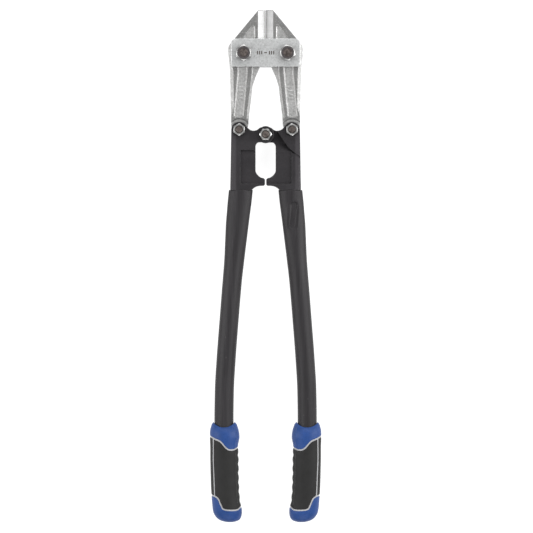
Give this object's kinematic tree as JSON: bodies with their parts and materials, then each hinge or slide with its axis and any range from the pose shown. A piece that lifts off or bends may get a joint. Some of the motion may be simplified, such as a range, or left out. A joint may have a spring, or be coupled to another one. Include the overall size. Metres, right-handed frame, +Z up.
{
  "type": "bolt cutters",
  "caption": "Long-handled compound-action bolt cutters: forged jaws tied by strap plates, half-lapped castings, bowed steel tube handles with two-colour grips.",
  "frame": {"origin": "on the surface the tool lies on, under the middle of its bounding box", "axes": "+Y along the tool to the blade tips, +X to the right seen from the nut side, +Z up along the pivot bolts"},
  "size_m": [0.133, 0.61, 0.0388],
  "materials": {
    "jaw_steel": "satin forged and tumbled steel, blades ground bright",
    "strap_steel": "fine satin plated steel",
    "bolt_black": "black oxide, slightly rough",
    "zinc": "bright zinc plate",
    "nylon_dark": "dark nylon",
    "casting_black": "satin black coat on cast steel",
    "tube_black": "satin black coat on drawn tube",
    "grip_grey": "moulded grey plastic",
    "grip_black": "fine textured soft rubber",
    "grip_blue": "satin soft rubber"
  },
  "bodies": {
    "strap": {"front_strap": "strap_steel", "rear_strap": "strap_steel", "left_strap_bolt": "bolt_black", "right_strap_bolt": "bolt_black", "left_strap_locknut": "zinc", "right_strap_locknut": "zinc", "left_locknut_insert": "nylon_dark", "right_locknut_insert": "nylon_dark"},
    "left_jaw": {"left_jaw": "jaw_steel"},
    "right_jaw": {"right_jaw": "jaw_steel"},
    "centre_pivot": {"centre_bolt": "bolt_black", "centre_nut": "zinc"},
    "left_handle": {"left_fitting": "casting_black", "left_tube": "tube_black", "left_pivot_bolt": "bolt_black", "left_pivot_nut": "zinc", "left_grip_core": "grip_grey", "left_grip_sleeve": "grip_black", "left_grip_side_pad": "grip_black", "left_grip_collar": "grip_blue", "left_grip_cap": "grip_blue"},
    "right_handle": {"right_fitting": "casting_black", "right_tube": "tube_black", "right_pivot_bolt": "bolt_black", "right_pivot_nut": "zinc", "right_grip_core": "grip_grey", "right_grip_sleeve": "grip_black", "right_grip_side_pad": "grip_black", "right_grip_collar": "grip_blue", "right_grip_cap": "grip_blue"}
  },
  "joints": [
    {"name": "centre_slide", "type": "slide", "parent": "strap", "child": "centre_pivot", "axis": [0, -1, 0], "range_m": [0, 0.0205]},
    {"name": "left_handle_open", "type": "hinge", "parent": "centre_pivot", "child": "left_handle", "pos_m": [0, 0.1566, 0.0173], "axis": [0, 0, -1], "range_deg": [0, 45]},
    {"name": "right_handle_open", "type": "hinge", "parent": "centre_pivot", "child": "right_handle", "pos_m": [0, 0.1566, 0.0173], "axis": [0, 0, 1], "range_deg": [0, 45]},
    {"name": "left_jaw_open", "type": "hinge", "parent": "strap", "child": "left_jaw", "pos_m": [-0.0261, 0.2536, 0.0173], "axis": [0, 0, 1], "range_deg": [0, 8.5]},
    {"name": "right_jaw_open", "type": "hinge", "parent": "strap", "child": "right_jaw", "pos_m": [0.0261, 0.2536, 0.0173], "axis": [0, 0, -1], "range_deg": [0, 8.5]}
  ],
  "couplings": [
    {"joint": "right_handle_open", "follows": "left_handle_open", "ratio": 1},
    {"joint": "centre_slide", "follows": "left_handle_open", "m_per_rad": 0.026},
    {"joint": "left_jaw_open", "follows": "left_handle_open", "ratio": 0.186},
    {"joint": "right_jaw_open", "follows": "left_handle_open", "ratio": 0.186}
  ]
}
